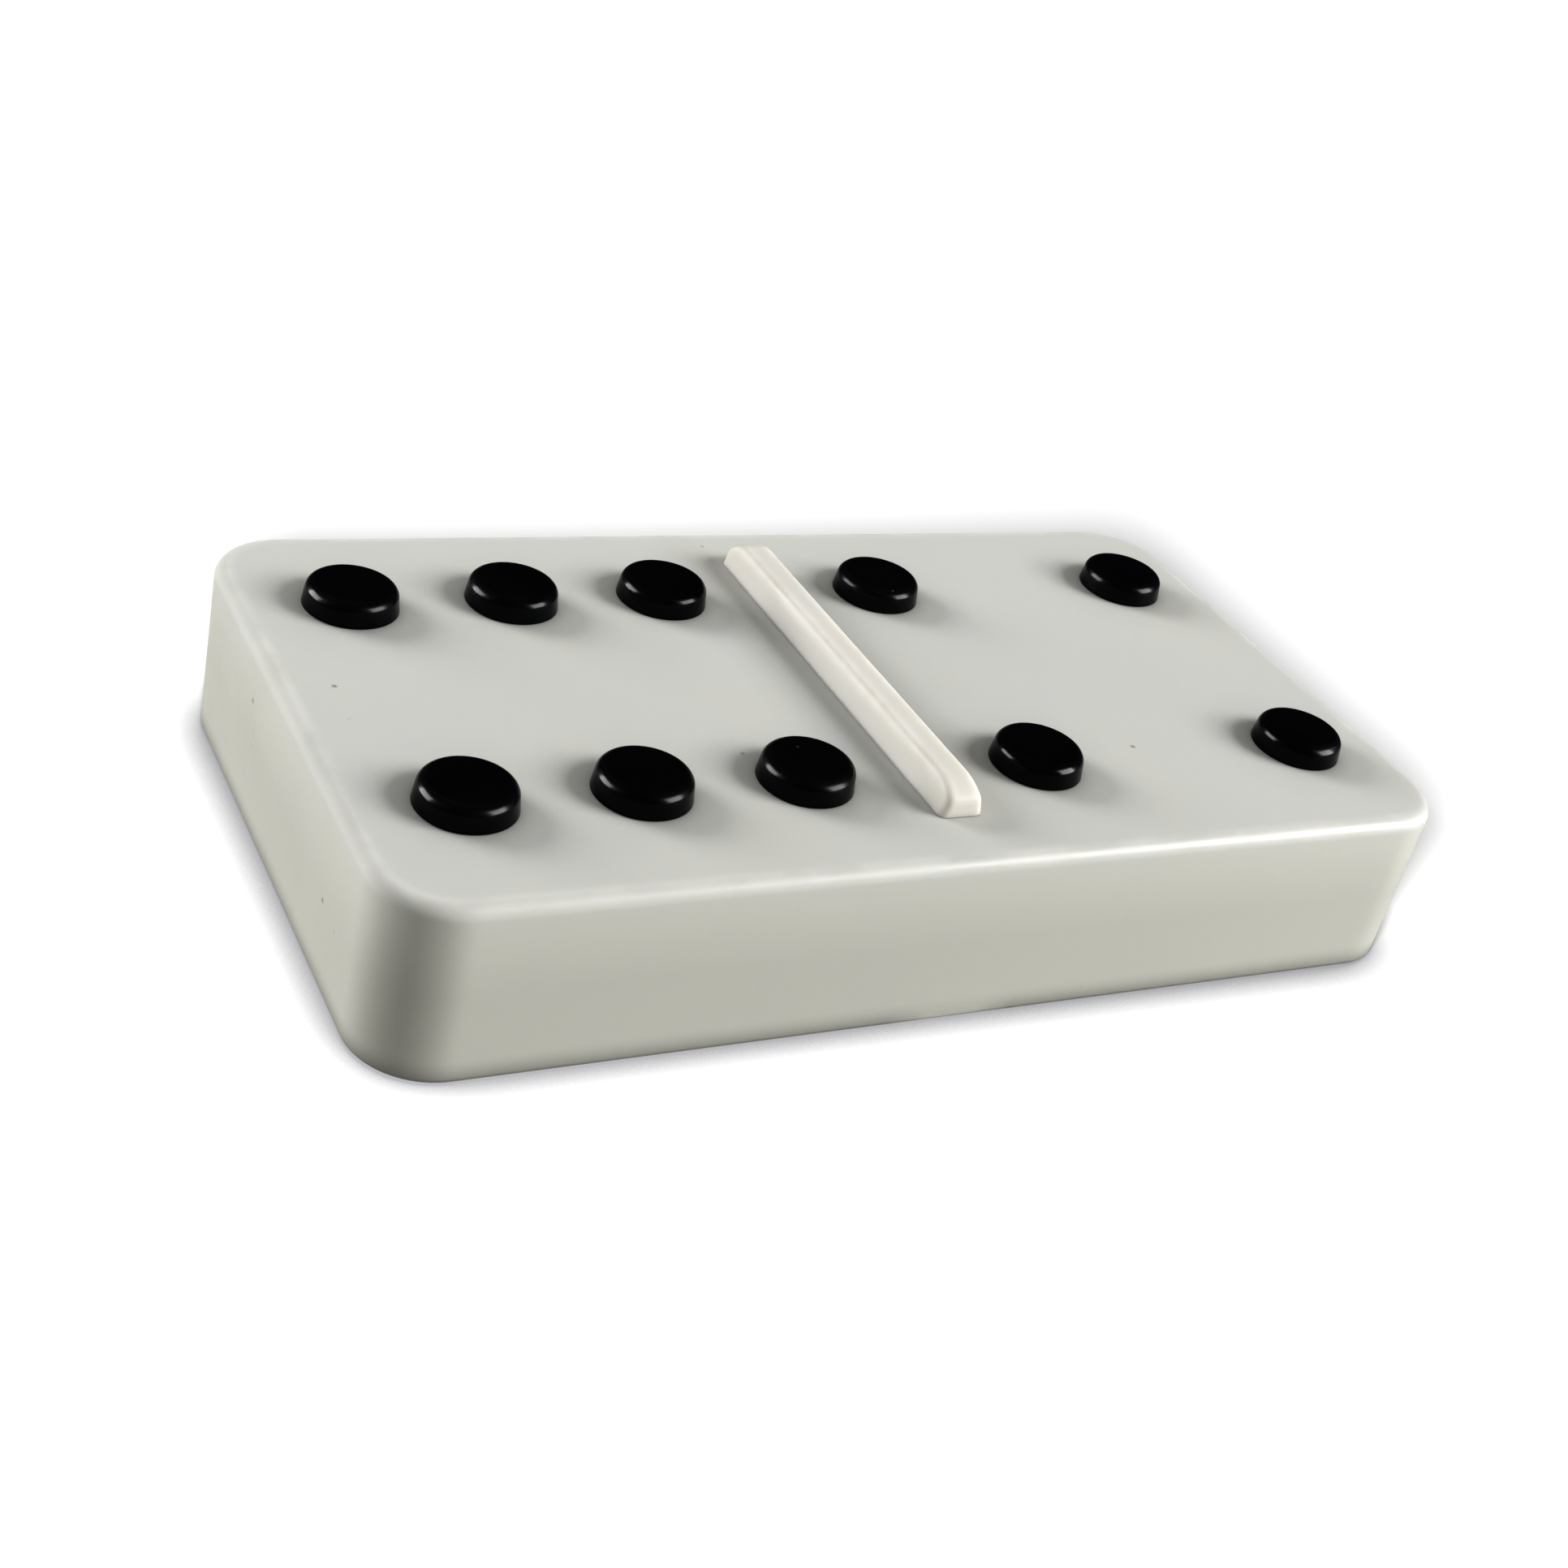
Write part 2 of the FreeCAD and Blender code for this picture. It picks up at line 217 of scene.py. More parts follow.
def make_tile(material):
    """The ivory block: every face a quad, with blind seats under the pips and the divider."""
    mesh = bmesh.new()
    half_x, half_y = TILE_HIGH.x - TOP_EDGE_ROUND, TILE_HIGH.y - TOP_EDGE_ROUND
    radius = CORNER_RADIUS - TOP_EDGE_ROUND
    arc_x, arc_y = half_x - radius, half_y - radius
    centres = {name: sum(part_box(name), Vector()) / 2 for name in PIPS}
    columns = sorted({round(abs(centre.x), 5) for centre in centres.values()})
    row = round(max(centre.y for centre in centres.values()), 5)
    seat_half = arc_x - columns[-1]
    bar_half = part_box("divider_bar")[1].x

    stops = [(bar_half, 4)]
    for column in columns:
        stops += [(column - seat_half, 7), (column + seat_half, 12)]
    xs = mirrored_lines(stops + [(half_x, 10)])
    ys = mirrored_lines([(row - seat_half, 11), (row + seat_half, 12), (arc_y, 3), (half_y, 10)])

    def nearest(lines, place):
        return min(range(len(lines)), key=lambda index: abs(lines[index] - place))

    def span(lines, low, high):
        return nearest(lines, low), nearest(lines, high)

    seats = []
    for centre in centres.values():
        across = span(xs, centre.x - seat_half, centre.x + seat_half)
        along = span(ys, centre.y - seat_half, centre.y + seat_half)
        seats.append(((across, along), centre, 0.0, SEAT_RADIUS, SEAT_DEPTH))
    slot_radius = TENON_WIDTH / 2 + BOND_GAP
    slot_reach = (TENON_LENGTH - TENON_WIDTH) / 2
    slot_cell = (span(xs, -bar_half, bar_half), span(ys, -arc_y, arc_y))
    seats.append((slot_cell, Vector((0, 0, 0)), slot_reach, slot_radius, SLOT_DEPTH))

    holes = [cell for cell, *_ in seats]
    top = make_sheet(mesh, xs, ys, half_x, half_y, radius, TOP, holes)
    underside = make_sheet(mesh, xs, ys, half_x, half_y, radius, 0.0, [])
    for cell, centre, reach, size, depth in seats:
        sink_seat(mesh, cell_rim(top, *cell), centre, reach, size, depth)

    whole = ((0, len(xs) - 1), (0, len(ys) - 1))
    ring = cell_rim(top, *whole)
    starts = [Vector(vertex.co.xy) for vertex in ring]
    outward = []
    for place in starts:
        over = Vector((abs(place.x) - arc_x, abs(place.y) - arc_y))
        over = Vector((max(over.x, 0.0), max(over.y, 0.0))).normalized()
        outward.append(Vector((math.copysign(over.x, place.x), math.copysign(over.y, place.y))))
    for outset, z in wall_profile():
        places = [start + way * outset for start, way in zip(starts, outward)]
        lower = [mesh.verts.new((*place, z)) for place in places]
        bridge(mesh, ring, lower)
        ring = lower
    bridge(mesh, ring, cell_rim(underside, *whole))

    def edge_share(point):
        place = Vector((abs(point.x), abs(point.y)))
        beyond = Vector((max(place.x - arc_x, 0.0), max(place.y - arc_y, 0.0)))
        rim = max(0.0, min(1.0, (beyond.length - radius + BLOCK_WEAR_AND_LIGHT_REACH) / TOP_EDGE_ROUND))
        high = 1 - min(1.0, (TOP - point.z) / TOP_EDGE_ROUND)
        low = 1 - min(1.0, point.z / BASE_EDGE_ROUND)
        return rim * max(high, low)

    return finished_piece("tile_shell", mesh, edge_share, "tile_body", material)


# The divider

def bar_path(end, base, height, foot_steps):
    """(y, z, normal) along the middle of the bar: up one nose, along the crest and down the other.

    A nose is an upright foot, a small round and a wide arc that runs level into the crest."""
    rise = height - NOSE_FOOT
    wide = (NOSE_LENGTH ** 2 + rise ** 2) / (2 * rise)
    small = NOSE_FOOT_ROUND
    wide_y, wide_z = NOSE_LENGTH - end, base + height - wide
    small_y = small - end
    small_z = wide_z + math.sqrt((wide - small) ** 2 - (wide_y - small_y) ** 2)
    joint = -math.asin((wide_y - small_y) / (wide - small))
    upright = -math.pi / 2

    half = [(-end, z, upright) for z in [base] + spaced(base, small_z, foot_steps)]
    for tilt in spaced(upright, joint, 6):
        half.append((small_y + small * math.sin(tilt), small_z + small * math.cos(tilt), tilt))
    for tilt in spaced(joint, 0, 14):
        half.append((wide_y + wide * math.sin(tilt), wide_z + wide * math.cos(tilt), tilt))
    flat = [(y, base + height, 0.0) for y in spaced(wide_y, -wide_y, 36)[:-1]]
    back = [(-y, z, -tilt) for y, z, tilt in reversed(half)]
    return [(y, z, Vector((0, math.sin(tilt), math.cos(tilt)))) for y, z, tilt in half + flat + back]


def make_bar(material):
    """The divider: sloping sides, a rounded nose at each end and softened edges, on its tenon."""
    mesh = bmesh.new()
    low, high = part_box("divider_bar")
    base, height, base_half, end = TOP, high.z - TOP, high.x, high.y
    slope = math.atan2(base_half - BAR_CREST_WIDTH / 2, height)
    radius = BAR_EDGE_ROUND
    arc_steps, strip_steps, wall_steps = 6, 8, 8

    def crossing(y, z, normal, foot):
        """One row of points over the bar, from its -X side to its +X side."""
        inner = Vector((0, y, z)) - normal * radius
        inner.x = base_half - (radius + (inner.z - base) * math.sin(slope)) / math.cos(slope)
        side = Vector((math.cos(slope), 0, math.sin(slope)))
        arc = [inner + normal.slerp(side, t) * radius for t in [0.0] + spaced(0, 1, arc_steps)]
        if foot:
            grow = math.tan(slope)
            arc = [Vector((point.x + (point.z - base) * grow, point.y, base)) for point in arc]
        strip = [Vector((x, *arc[0].yz)) for x in spaced(-arc[0].x, arc[0].x, strip_steps)[:-1]]
        flipped = [Vector((-point.x, point.y, point.z)) for point in reversed(arc)]
        return flipped + strip + arc

    path = bar_path(end, base, height, wall_steps)
    last = len(path) - 1
    rows = []
    for index, (y, z, normal) in enumerate(path):
        points = crossing(y, z, normal, index in (0, last))
        rows.append([mesh.verts.new(point) for point in points])
    for row, after in zip(rows, rows[1:]):
        join_rows(mesh, row, after)

    feet = {0: [], -1: []}
    for side in feet:
        before = [rows[index][side] for index in range(wall_steps, -1, -1)]
        for index in range(wall_steps + 1, last - wall_steps):
            head = rows[index][side]
            grow = math.tan(slope) * math.copysign(1, head.co.x)
            column = [head]
            for z in spaced(head.co.z, base, wall_steps):
                column.append(mesh.verts.new((head.co.x + (head.co.z - z) * grow, head.co.y, z)))
            feet[side].append(column[-1])
            join_rows(mesh, before, column)
            before = column
        join_rows(mesh, before, [rows[index][side] for index in range(last - wall_steps, last + 1)])

    ring = rows[0] + feet[-1] + rows[last][::-1] + feet[0][::-1]
    reach = (TENON_LENGTH - TENON_WIDTH) / 2
    outline = [stadium_point(vertex.co, Vector((0, 0, 0)), reach, TENON_WIDTH / 2) for vertex in ring]
    for z in [base] + spaced(base, low.z, 3):
        lower = [mesh.verts.new((*place, z)) for place in outline]
        bridge(mesh, ring, lower)
        ring = lower
    mesh.faces.new(ring)

    def edge_share(point):
        inset = base_half - (point.z - base) * math.tan(slope) - abs(point.x)
        return max(0.0, 1 - max(abs(inset), high.z - point.z) / BAR_WEAR_AND_LIGHT_REACH)

    return finished_piece("divider", mesh, edge_share, "divider_bar", material)


# The pips

def pip_profile(radius, top, tip):
    """(distance from the axis, height) from the tip of the shank up over the head to its crown."""
    rim = PIP_EDGE_ROUND
    foot = PIP_BASE_ROUND
    lean = math.atan2(radius - PIP_CROWN_RADIUS, top - TOP)
    profile = [(SHANK_RADIUS - SHANK_CHAMFER, tip), (SHANK_RADIUS, tip + SHANK_CHAMFER)]
    profile += [(SHANK_RADIUS, z) for z in spaced(tip + SHANK_CHAMFER, TOP, 3)]
    profile.append(((SHANK_RADIUS + radius) / 2, TOP))
    for a in [0.0] + spaced(0, math.pi / 2, 4):
        profile.append((radius - foot * (1 - math.sin(a)), TOP + foot * (1 - math.cos(a))))

    centre_z = top - rim
    centre_r = radius - (centre_z - TOP + rim * math.sin(lean)) * math.tan(lean) - rim * math.cos(lean)
    arc = [lean] + spaced(lean, math.pi / 2, 12)
    rim_points = [(centre_r + rim * math.cos(a), centre_z + rim * math.sin(a)) for a in arc]
    low_r, low_z = profile[-1]
    high_r, high_z = rim_points[0]
    rises = spaced(0, 1, 8)[:-1]
    profile += [(low_r + (high_r - low_r) * t, low_z + (high_z - low_z) * t) for t in rises]
    return profile + rim_points + [(r, top) for r in spaced(centre_r, 0, 6)[:-1]]


def make_pip(name, material):
    """One black pip, turned from its profile."""
    mesh = bmesh.new()
    low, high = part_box(name)
    centre = (low + high) / 2
    turns = 96
    ring = None
    for distance, z in pip_profile(high.x - centre.x, high.z, low.z):
        circle = []
        for turn in range(turns):
            angle = 2 * math.pi * turn / turns
            x = centre.x + distance * math.cos(angle)
            y = centre.y + distance * math.sin(angle)
            circle.append(mesh.verts.new((x, y, z)))
        if ring:
            bridge(mesh, ring, circle)
        else:
            mesh.faces.new(circle)
        ring = circle
    hub = mesh.verts.new((centre.x, centre.y, high.z))
    for index in range(turns):
        mesh.faces.new((ring[index], ring[(index + 1) % turns], hub))

    def edge_share(point):
        return max(0.0, 1 - abs(high.z - PIP_WEAR_AND_LIGHT_DROP - point.z) / PIP_WEAR_AND_LIGHT_REACH)

    piece_name = name.replace("pip", "pip_button")
    return finished_piece(piece_name, mesh, edge_share, name, material)


# Materials

# How far the painted shade spreads from the corners between two pieces, darkening the colour as shade
# would fall there: on the block's walls, and on its wide top, the divider and the pips.
CORNER_SHADE_REACH = 1.2 * MM
TOP_CORNER_SHADE_REACH = 3.0 * MM
BAR_CORNER_SHADE_REACH = 0.36 * MM
PIP_CORNER_SHADE_REACH = 0.024 * MM
# The top has less painted shade beside the divider, from its foot out to this far from the middle.
LESS_SHADE_FROM = 1.2 * MM
LESS_SHADE_TO = 3.0 * MM
LESS_SHADE_SHARE = 0.3

# How much of each the colour takes on, at most.
CORNER_SHADE_SHARE = 0.8
WEAR_AND_EDGE_LIGHT_SHARE = 0.9
DUST_SHARE = 0.75

RIPPLE_DEPTH = 0.0016 * MM
SCRATCH_DEPTH = 0.0012 * MM
DUST_DEPTH = 0.01 * MM

# The floor: how far the contact shade reaches, and where it turns from lit to pale of its own.
CONTACT_REACH = 3.2 * MM
LIT_TO = 52 * MM
PALE_FROM = 80 * MM


class Nodes:
    """Short forms for a material's nodes."""

    def __init__(self, name):
        self.material = bpy.data.materials.new(name)
        self.material.use_nodes = True
        self.tree = self.material.node_tree
        self.shader = self.tree.nodes["Principled BSDF"]
        self.output = self.tree.nodes["Material Output"]

    def add(self, kind, **settings):
        node = self.tree.nodes.new("ShaderNode" + kind)
        for key, value in settings.items():
            setattr(node, key, value)
        return node

    def link(self, source, target):
        self.tree.links.new(source, target)

    def math(self, operation, *values):
        node = self.add("Math", operation=operation)
        for socket, value in zip(node.inputs, values):
            if isinstance(value, (int, float)):
                socket.default_value = value
            else:
                self.link(value, socket)
        return node.outputs[0]

    def ramp(self, value, low, high, start=0.0, end=1.0):
        node = self.add("MapRange")
        self.link(value, node.inputs["Value"])
        node.inputs["From Min"].default_value = low
        node.inputs["From Max"].default_value = high
        node.inputs["To Min"].default_value = start
        node.inputs["To Max"].default_value = end
        return node.outputs[0]

    def mix(self, share, one, other):
        node = self.add("Mix", data_type="RGBA")
        self.link(share, node.inputs[0])
        for socket, colour in ((node.inputs[6], one), (node.inputs[7], other)):
            if isinstance(colour, tuple):
                socket.default_value = (*colour, 1)
            else:
                self.link(colour, socket)
        return node.outputs[2]

    def along(self, axis, what="Object"):
        """The X, Y or Z of a place on the piece, in its own frame, or of another vector there."""
        parts = self.add("SeparateXYZ")
        self.link(self.add("TexCoord").outputs[what], parts.inputs[0])
        return parts.outputs[axis]

    def level(self):
        """1 on level surfaces that face up, 0 where they slope."""
        return self.ramp(self.along("Z", "Normal"), 0.85, 0.995)

    def millimetres(self, stretch=(1, 1, 1), turn=(0, 0, 0)):
        """The piece's own coordinates in millimetres, stretched and turned."""
        place = self.add("TexCoord")
        mapping = self.add("Mapping")
        mapping.inputs["Scale"].default_value = [1000 * share for share in stretch]
        mapping.inputs["Rotation"].default_value = [math.radians(angle) for angle in turn]
        self.link(place.outputs["Object"], mapping.inputs["Vector"])
        return mapping.outputs[0]

    def noise(self, vector, scale, detail=3.0, roughness=0.5):
        node = self.add("TexNoise")
        self.link(vector, node.inputs["Vector"])
        node.inputs["Scale"].default_value = scale
        node.inputs["Detail"].default_value = detail
        node.inputs["Roughness"].default_value = roughness
        return node.outputs["Fac"]

    def specks(self, vector, spacing, size, chance):
        """1 inside a few small round specks, 0 elsewhere."""
        cell = self.add("TexVoronoi")
        self.link(vector, cell.inputs["Vector"])
        cell.inputs["Scale"].default_value = 1 / spacing
        near = self.ramp(cell.outputs["Distance"], size / spacing, 0.4 * size / spacing)
        parts = self.add("SeparateColor")
        self.link(cell.outputs["Color"], parts.inputs[0])
        chosen = self.math("GREATER_THAN", parts.outputs[0], 1 - chance)
        return self.math("MULTIPLY", near, chosen)

    def tinted(self, colour, tint):
        node = self.add("Mix", data_type="RGBA", blend_type="MULTIPLY")
        node.inputs[0].default_value = 1.0
        self.link(colour, node.inputs[6])
        self.link(tint, node.inputs[7])
        return node.outputs[2]

    def tone_by_height(self, painted_light_tones):
        """A colour that changes with height. Tones are (height in mm, colour) from low to high."""
        reach = painted_light_tones[-1][0]
        node = self.add("ValToRGB")
        self.link(self.math("DIVIDE", self.along("Z"), reach * MM), node.inputs[0])
        stops = node.color_ramp.elements
        while len(stops) < len(painted_light_tones):
            stops.new(1.0)
        for stop, (height, colour) in zip(stops, painted_light_tones):
            stop.position = height / reach
            stop.color = (*colour, 1)
        return node.outputs[0]

    def openness(self, reach):
        """1 on open surfaces, falling where other surfaces crowd in within reach."""
        node = self.add("AmbientOcclusion", samples=8)
        if isinstance(reach, float):
            node.inputs["Distance"].default_value = reach
        else:
            self.link(reach, node.inputs["Distance"])
        return node.outputs["AO"]

    def hairlines(self, turn, density):
        """Fine broken scratches along one direction."""
        streak = self.noise(self.millimetres((0.25, 9, 9), turn), 1.0, 2.0)
        line = self.ramp(streak, 0.5 + density, 0.5 + density + 0.03)
        patch = self.ramp(self.noise(self.millimetres(), 0.35, 1.0), 0.5, 0.62)
        return self.math("MULTIPLY", line, patch)

    def bump(self, height, depth, before=None):
        node = self.add("Bump")
        node.inputs["Distance"].default_value = depth
        self.link(height, node.inputs["Height"])
        if before:
            self.link(before, node.inputs["Normal"])
        return node.outputs[0]


def plastic(name, body, warm, worn_and_lit, roughness, specks, dust_and_shade, shade_reach, painted_light_tones=None):
    """A glossy moulded plastic with mottling, rubbed edges with a painted highlight, hairline scratches,
    dust, and painted shade in its corners.

    Specks are (spacing, size, chance), with the first two in millimetres."""
    nodes = Nodes(name)
    shader = nodes.shader
    place = nodes.millimetres()
    edge = nodes.add("Attribute", attribute_name="edge").outputs["Fac"]
    mottle = nodes.ramp(nodes.noise(place, 0.16, 4.0, 0.6), 0.35, 0.65)
    rub_and_edge_light = nodes.math("MULTIPLY", edge, nodes.ramp(nodes.noise(place, 0.35, 3.0, 0.6), 0.3, 0.6))
    long_way, short_way = nodes.hairlines((0, 0, 24), 0.16), nodes.hairlines((0, 0, -51), 0.18)
    scratch = nodes.math("MAXIMUM", long_way, short_way)
    dust = nodes.specks(place, *specks)

    colour = nodes.mix(mottle, body, warm)
    # Painted light and shade that change with height, where they are given.
    if painted_light_tones:
        colour = nodes.tinted(colour, nodes.tone_by_height(painted_light_tones))
    # Rubbed edges: real wear, and also a painted highlight that lightens the rounded edges.
    colour = nodes.mix(nodes.math("MULTIPLY", rub_and_edge_light, WEAR_AND_EDGE_LIGHT_SHARE), colour, worn_and_lit)
    colour = nodes.mix(nodes.math("MULTIPLY", dust, DUST_SHARE), colour, dust_and_shade)
    # Painted shade: the colour turns to the dark colour where other surfaces crowd in, in corners and
    # where pieces meet, with less of it beside the divider.
    reach = nodes.ramp(nodes.along("Z"), 0.8 * TOP, TOP, CORNER_SHADE_REACH, shade_reach)
    painted_shade = nodes.ramp(nodes.openness(reach), 0.5, 0.97, CORNER_SHADE_SHARE, 0.0)
    off_middle = nodes.math("ABSOLUTE", nodes.along("X"))
    kept_shade = nodes.ramp(off_middle, LESS_SHADE_FROM, LESS_SHADE_TO, LESS_SHADE_SHARE, 1.0)
    colour = nodes.mix(nodes.math("MULTIPLY", painted_shade, kept_shade), colour, dust_and_shade)
    nodes.link(colour, shader.inputs["Base Color"])

    gloss = nodes.ramp(nodes.noise(place, 0.5, 5.0, 0.6), 0.3, 0.7, roughness * 0.8, roughness * 1.25)
    gloss = nodes.math("ADD", gloss, nodes.math("MULTIPLY", rub_and_edge_light, 0.1))
    gloss = nodes.math("ADD", gloss, nodes.math("MULTIPLY", scratch, 0.12))
    gloss = nodes.math("ADD", gloss, nodes.math("MULTIPLY", dust, 0.4))
    nodes.link(gloss, shader.inputs["Roughness"])

    normal = nodes.bump(nodes.noise(place, 0.9, 2.0), RIPPLE_DEPTH)
    normal = nodes.bump(nodes.math("SUBTRACT", 1.0, scratch), SCRATCH_DEPTH, normal)
    normal = nodes.bump(dust, DUST_DEPTH, normal)
    nodes.link(normal, shader.inputs["Normal"])
    return nodes


def dull_top(nodes, edge_shine, top_shine, rougher):
    """Less gloss on the level faces than on the sides and the rounded edges."""
    level = nodes.level()
    shine = nodes.ramp(level, 0.0, 1.0, edge_shine, top_shine)
    nodes.link(shine, nodes.shader.inputs["Specular IOR Level"])
    gloss = nodes.shader.inputs["Roughness"].links[0].from_socket
    gloss = nodes.math("ADD", gloss, nodes.math("MULTIPLY", level, rougher))
    nodes.link(gloss, nodes.shader.inputs["Roughness"])


def softened(nodes, radius, depth):
    """Lets a little light into the plastic: radius is each colour's share of depth."""
    shader = nodes.shader
    shader.inputs["IOR"].default_value = 1.49
    shader.inputs["Subsurface Weight"].default_value = 0.5
    shader.inputs["Subsurface Radius"].default_value = radius
    shader.inputs["Subsurface Scale"].default_value = depth


def ivory_plastic():
    # Painted light and shade by height: the walls darker low down, lighter just under the top edge, and
    # the top face a little darker than the upper walls.
    shaded_low_wall = (0.88, 0.87, 0.825)
    painted_light_tones = [
        (0.0, shaded_low_wall),
        (4.0, shaded_low_wall),
        (6.6, (1.0, 0.985, 0.94)),
        (7.9, (1.0, 1.0, 1.0)),
        (8.0, (0.885, 0.885, 0.88)),
    ]
    nodes = plastic(
        "ivory_plastic",
        body=(0.618, 0.626, 0.592),
        warm=(0.632, 0.632, 0.588),
        worn_and_lit=(0.69, 0.685, 0.645),
        roughness=0.34,
        specks=(3.1, 0.16, 0.45),
        dust_and_shade=(0.16, 0.155, 0.14),
        shade_reach=TOP_CORNER_SHADE_REACH,
        painted_light_tones=painted_light_tones,
    )
    softened(nodes, (1.0, 0.92, 0.7), 0.4 * MM)
    dull_top(nodes, 0.5, 0.01, 0.1)
    return nodes.material


def divider_plastic():
    nodes = plastic(
        "cream_plastic",
        body=(0.765, 0.74, 0.68),
        warm=(0.77, 0.74, 0.667),
        worn_and_lit=(0.98, 0.95, 0.88),
        roughness=0.42,
        specks=(2.3, 0.12, 0.08),
        dust_and_shade=(0.3, 0.28, 0.22),
        shade_reach=BAR_CORNER_SHADE_REACH,
    )
    softened(nodes, (1.0, 0.9, 0.65), 0.7 * MM)
    nodes.shader.inputs["Specular IOR Level"].default_value = 0.25
    return nodes.material


def pip_plastic():
    nodes = plastic(
        "black_plastic",
        body=(0.0001, 0.00012, 0.0002),
        warm=(0.00015, 0.0002, 0.00025),
        worn_and_lit=(0.0003, 0.0003, 0.0004),
        roughness=0.15,
        specks=(1.9, 0.07, 0.2),
        dust_and_shade=(0.01, 0.01, 0.01),
        shade_reach=PIP_CORNER_SHADE_REACH,
    )
    nodes.shader.inputs["IOR"].default_value = 1.5
    dull_top(nodes, 0.03, 0.002, 0.3)
    return nodes.material


# The studio

def direction(azimuth, elevation):
    a, e = math.radians(azimuth), math.radians(elevation)
    return Vector((math.sin(a) * math.cos(e), -math.cos(a) * math.cos(e), math.sin(e)))


def make_softbox(name, azimuth, elevation, distance, width, height, power):
    """A rectangular softbox that faces the tile."""
    light = bpy.data.lights.new(name, "AREA")
    light.shape = "RECTANGLE"
    light.size = width
    light.size_y = height
    light.energy = power
    lamp = bpy.data.objects.new(name, light)
    lamp.location = direction(azimuth, elevation) * distance
    lamp.visible_camera = False
    lamp.rotation_mode = "QUATERNION"
    lamp.rotation_quaternion = (-lamp.location).to_track_quat("-Z", "Y")
    bpy.context.scene.collection.objects.link(lamp)
    return lamp


def even_falloff(light):
    """Makes a lamp as bright far away as at one metre."""
    light.use_nodes = True
    tree = light.node_tree
    falloff = tree.nodes.new("ShaderNodeLightFalloff")
    falloff.inputs["Strength"].default_value = 1.0
    tree.links.new(falloff.outputs["Constant"], tree.nodes["Emission"].inputs["Strength"])


def make_floor(pale, shade, bounce):
    """A plain pale floor with painted contact shade round the tile's foot. The camera sees it lit beside
    the tile, and pale of its own farther away.
    """
    mesh = bmesh.new()
    bmesh.ops.create_circle(mesh, cap_ends=True, segments=64, radius=3.0)
    data = bpy.data.meshes.new("floor")
    mesh.to_mesh(data)
    mesh.free()
    floor = bpy.data.objects.new("floor", data)
    bpy.context.scene.collection.objects.link(floor)

    nodes = Nodes("floor_paper")
    nodes.tree.nodes.remove(nodes.shader)
    # Painted contact shade: the floor's colour darkens where the tile crowds in.
    paper_and_painted_shade = nodes.mix(nodes.ramp(nodes.openness(CONTACT_REACH), 0.5, 0.99), shade, pale)
    lit = nodes.add("BsdfDiffuse")
    nodes.link(paper_and_painted_shade, lit.inputs["Color"])
    glow = nodes.add("Emission")
    nodes.link(paper_and_painted_shade, glow.inputs["Color"])
    glow.inputs["Strength"].default_value = 1.06
    dim = nodes.add("BsdfDiffuse")
    dim.inputs["Color"].default_value = (*bounce, 1)
    place = nodes.add("TexCoord")
    length = nodes.add("VectorMath", operation="LENGTH")
    nodes.link(place.outputs["Object"], length.inputs[0])
    share = nodes.ramp(length.outputs["Value"], LIT_TO, PALE_FROM, 0.15, 1.0)
    seen = nodes.add("MixShader")
    nodes.link(share, seen.inputs[0])
    nodes.link(lit.outputs[0], seen.inputs[1])
    nodes.link(glow.outputs[0], seen.inputs[2])
    path = nodes.add("LightPath")
    both = nodes.add("MixShader")
    nodes.link(path.outputs["Is Camera Ray"], both.inputs[0])
    nodes.link(dim.outputs[0], both.inputs[1])
    nodes.link(seen.outputs[0], both.inputs[2])
    nodes.link(both.outputs[0], nodes.output.inputs["Surface"])
    data.materials.append(nodes.material)
    return floor


def make_world(seen, fill):
    """Pale behind the floor's edge, and dim where it lights the tile or shows in its gloss."""
    world = bpy.data.worlds.new("studio")
    world.use_nodes = True
    tree = world.node_tree
    dim = tree.nodes["Background"]
    dim.inputs["Color"].default_value = (*fill, 1)
    pale = tree.nodes.new("ShaderNodeBackground")
    pale.inputs["Color"].default_value = (*seen, 1)
    path = tree.nodes.new("ShaderNodeLightPath")
    both = tree.nodes.new("ShaderNodeMixShader")
    tree.links.new(path.outputs["Is Camera Ray"], both.inputs[0])
    tree.links.new(dim.outputs[0], both.inputs[1])
    tree.links.new(pale.outputs[0], both.inputs[2])
    tree.links.new(both.outputs[0], tree.nodes["World Output"].inputs["Surface"])
    bpy.context.scene.world = world


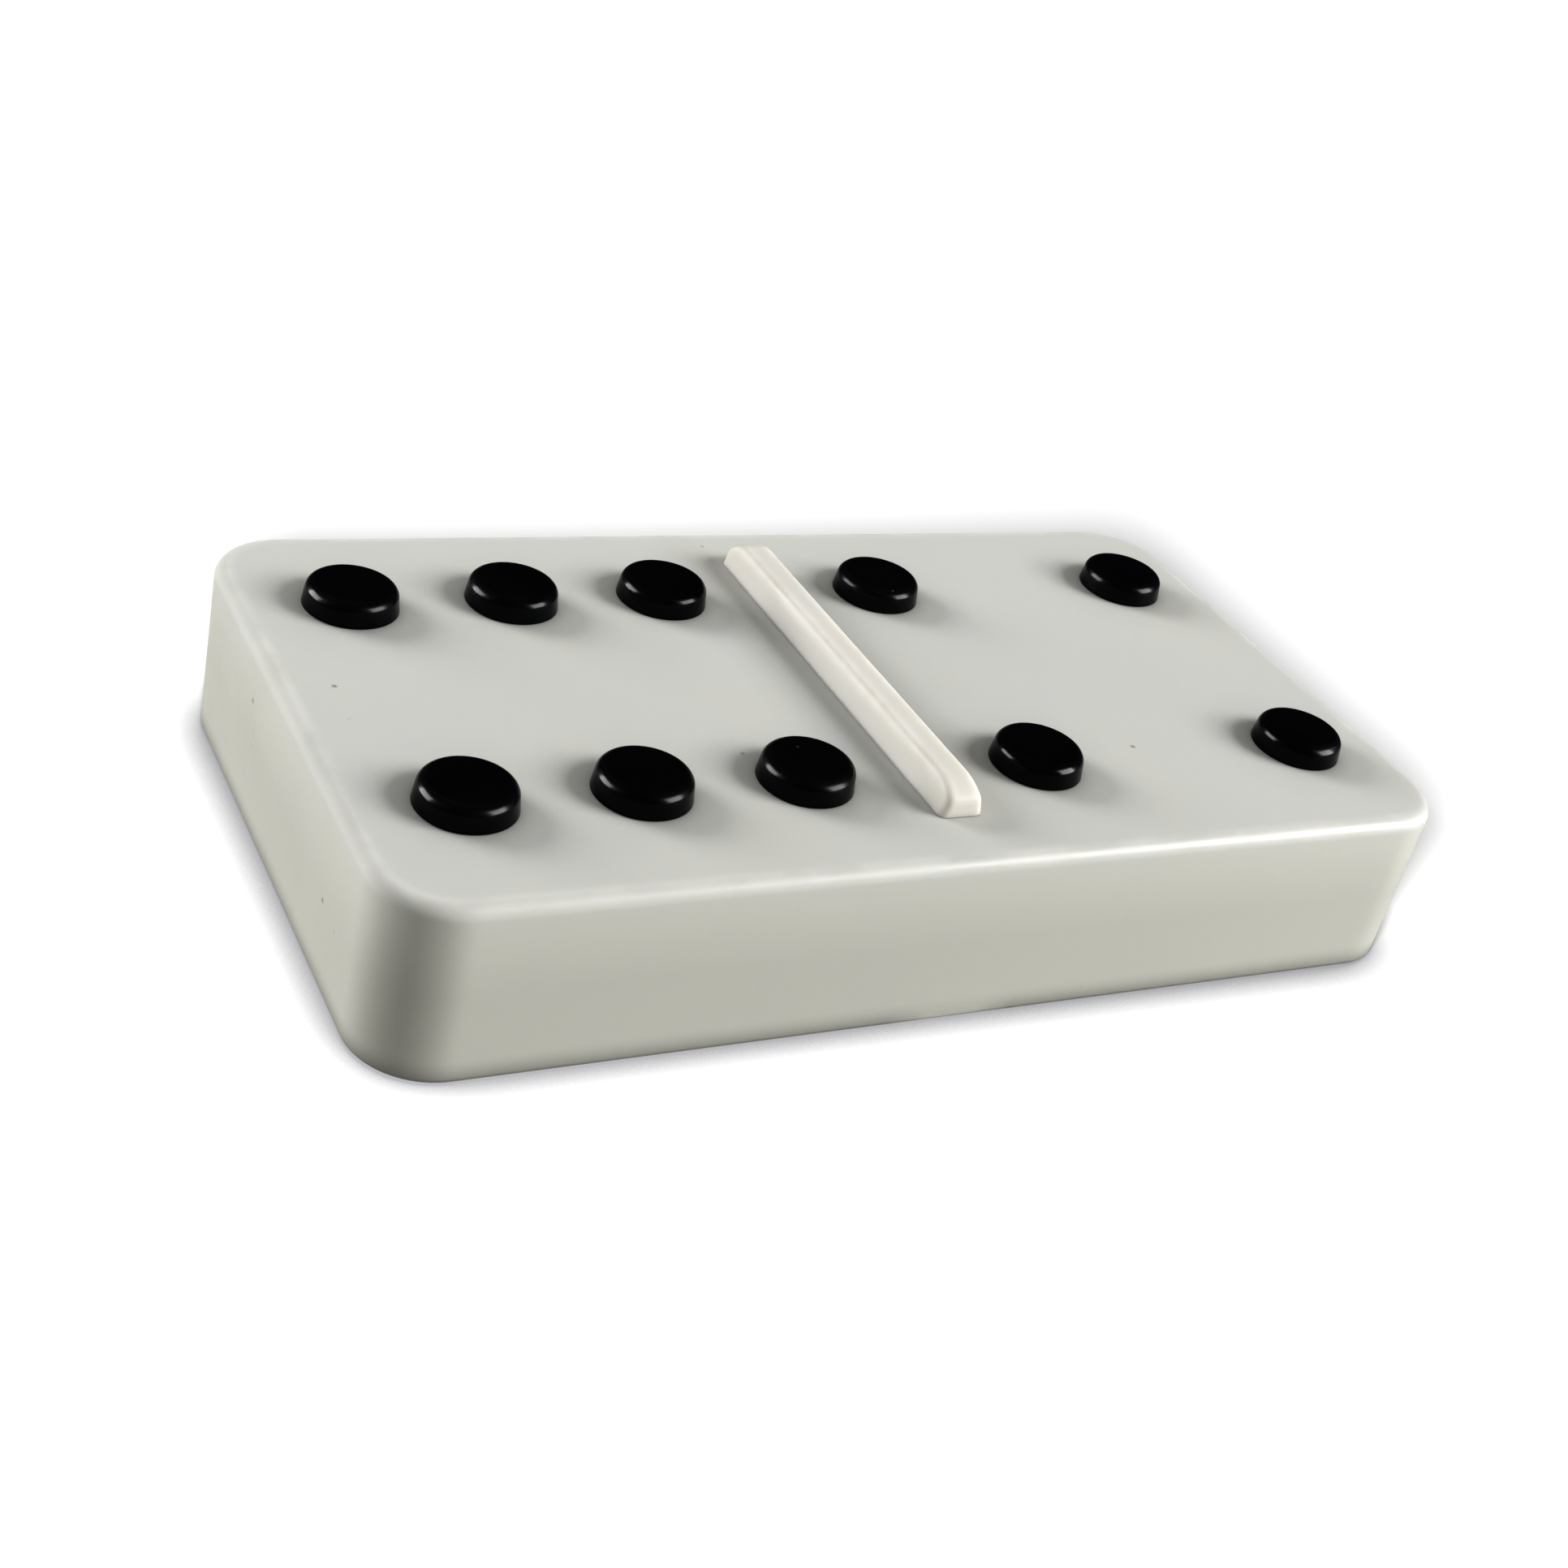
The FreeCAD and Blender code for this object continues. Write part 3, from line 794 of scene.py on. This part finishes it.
def make_camera():
    data = bpy.data.cameras.new("camera")
    data.lens = LENS
    data.sensor_width = SENSOR
    data.clip_start = 0.005
    data.clip_end = 10.0
    camera = bpy.data.objects.new("camera", data)
    back = direction(VIEW_AZIMUTH, VIEW_ELEVATION)
    camera.location = VIEW_TARGET + back * VIEW_DISTANCE
    camera.rotation_mode = "QUATERNION"
    roll = Quaternion((0, 0, 1), math.radians(VIEW_ROLL))
    camera.rotation_quaternion = (-back).to_track_quat("-Z", "Y") @ roll
    bpy.context.scene.collection.objects.link(camera)
    bpy.context.scene.camera = camera


def light_only(lamps, pieces, name):
    """Makes the lamps light these pieces and nothing else."""
    group = bpy.data.collections.new(name)
    for piece in pieces:
        group.objects.link(piece)
    for lamp in lamps:
        lamp.light_linking.receiver_collection = group


def main():
    bpy.context.scene.view_settings.view_transform = "Standard"
    make_camera()
    floor = make_floor((0.97, 0.97, 0.97), (0.27, 0.27, 0.28), (0.155, 0.155, 0.145))
    make_world((1.0, 1.0, 1.0), (0.02, 0.02, 0.02))

    tile = make_tile(ivory_plastic())
    bar = make_bar(divider_plastic())
    black = pip_plastic()
    pips = [make_pip(name, black) for name in PIPS]

    right = make_softbox("right_softbox", 60, 30, 0.7, 0.35, 0.35, 7.2)
    left = make_softbox("left_softbox", -135, 17, 0.3, 0.16, 0.16, 1.25)
    fill = make_softbox("fill_softbox", -36, 15, 0.9, 1.1, 0.5, 1.4)
    light_only([right, fill], [tile, bar], "lit_ivory")
    light_only([left], [tile], "lit_block")
    left.visible_glossy = False
    bar_left = make_softbox("bar_softbox", -135, 17, 0.45, 0.24, 0.24, 2.0)
    light_only([bar_left], [bar], "lit_bar")
    side = make_softbox("side_softbox", 42, 5, 0.0675, 0.03, 0.03, 0.008)
    side.visible_glossy = False
    light_only([side], [tile], "lit_side")
    glints = [
        make_softbox("left_glint", -119, 14, 0.35, 0.22, 0.22, 10.0),
        make_softbox("right_glint", 49, 19, 0.35, 0.22, 0.22, 10.0),
    ]
    light_only(glints, pips, "lit_pips")
    azimuth, elevation = VIEW_AZIMUTH - 2.5, VIEW_ELEVATION - 0.2
    floor_lamp = make_softbox("floor_softbox", azimuth, elevation, 0.1, 0.024, 0.024, 30.0)
    floor_lamp.location += VIEW_TARGET
    even_falloff(floor_lamp.data)
    light_only([floor_lamp], [floor], "lit_floor")


main()
